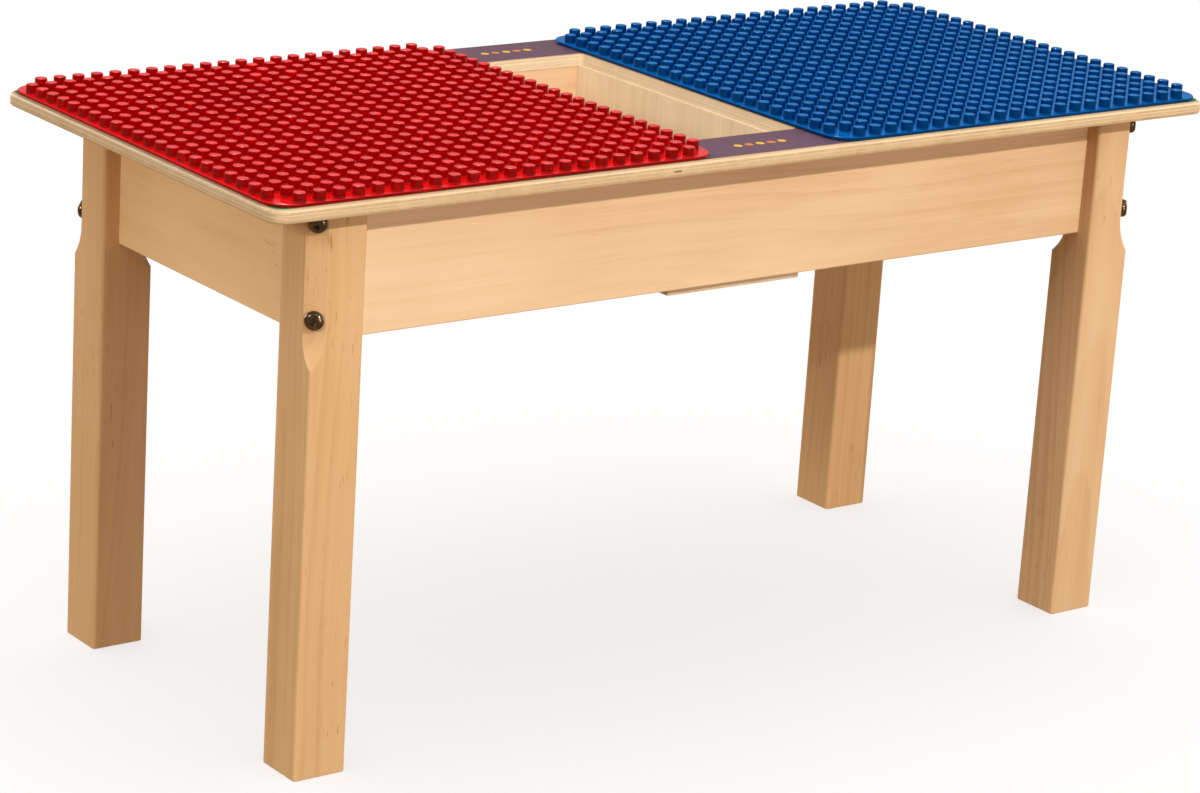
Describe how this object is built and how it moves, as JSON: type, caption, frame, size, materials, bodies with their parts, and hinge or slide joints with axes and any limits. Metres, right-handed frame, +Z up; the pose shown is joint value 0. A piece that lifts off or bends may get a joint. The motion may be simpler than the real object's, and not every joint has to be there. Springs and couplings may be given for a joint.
{
  "type": "play table",
  "caption": "Low wooden play table for children with studded baseplates for building bricks on its plywood top and an open storage well between them.",
  "frame": {"origin": "on the floor, under the middle of the table", "axes": "+Z up, +X along the table's length towards the blue baseplate, -Y towards the front apron"},
  "size_m": [0.886, 0.39, 0.4472],
  "materials": {
    "birch_plywood": "clear satin lacquer",
    "maple": "clear satin lacquer",
    "inner_timber": "planed, lightly lacquered",
    "printed_laminate": "printed decorative sheet, satin",
    "red_plastic": "glossy moulded plastic",
    "blue_plastic": "glossy moulded plastic",
    "bronzed_steel": "dark antique bronze",
    "zinc_steel": "zinc plated"
  },
  "bodies": {
    "table": {"tabletop": "birch_plywood", "well_left_wall": "birch_plywood", "well_right_wall": "birch_plywood", "well_bottom": "birch_plywood", "printed_sheet": "printed_laminate", "front_apron": "maple", "back_apron": "maple", "left_apron": "maple", "right_apron": "maple", "leg_front_left": "maple", "leg_front_right": "maple", "leg_back_left": "maple", "leg_back_right": "maple", "corner_block_front_left": "inner_timber", "corner_block_front_right": "inner_timber", "corner_block_back_left": "inner_timber", "corner_block_back_right": "inner_timber", "top_cleat_front_left": "inner_timber", "top_cleat_front_right": "inner_timber", "top_cleat_back_left": "inner_timber", "top_cleat_back_right": "inner_timber", "top_cleat_left": "inner_timber", "top_cleat_right": "inner_timber", "well_corner_strips": "inner_timber", "leg_bolts": "bronzed_steel", "corner_block_screws": "zinc_steel", "top_screws": "zinc_steel", "cleat_screws": "zinc_steel", "well_bottom_nails": "zinc_steel", "well_strip_screws": "zinc_steel", "leg_bolt_washers": "zinc_steel", "leg_bolt_nuts": "zinc_steel"},
    "red_plate": {"red_baseplate": "red_plastic"},
    "blue_plate": {"blue_baseplate": "blue_plastic"}
  },
  "joints": [
    {"name": "red_plate_lift", "type": "slide", "parent": "table", "child": "red_plate", "axis": [0, 0, 1], "range_m": [0, 0.12]},
    {"name": "blue_plate_lift", "type": "slide", "parent": "table", "child": "blue_plate", "axis": [0, 0, 1], "range_m": [0, 0.12]}
  ]
}
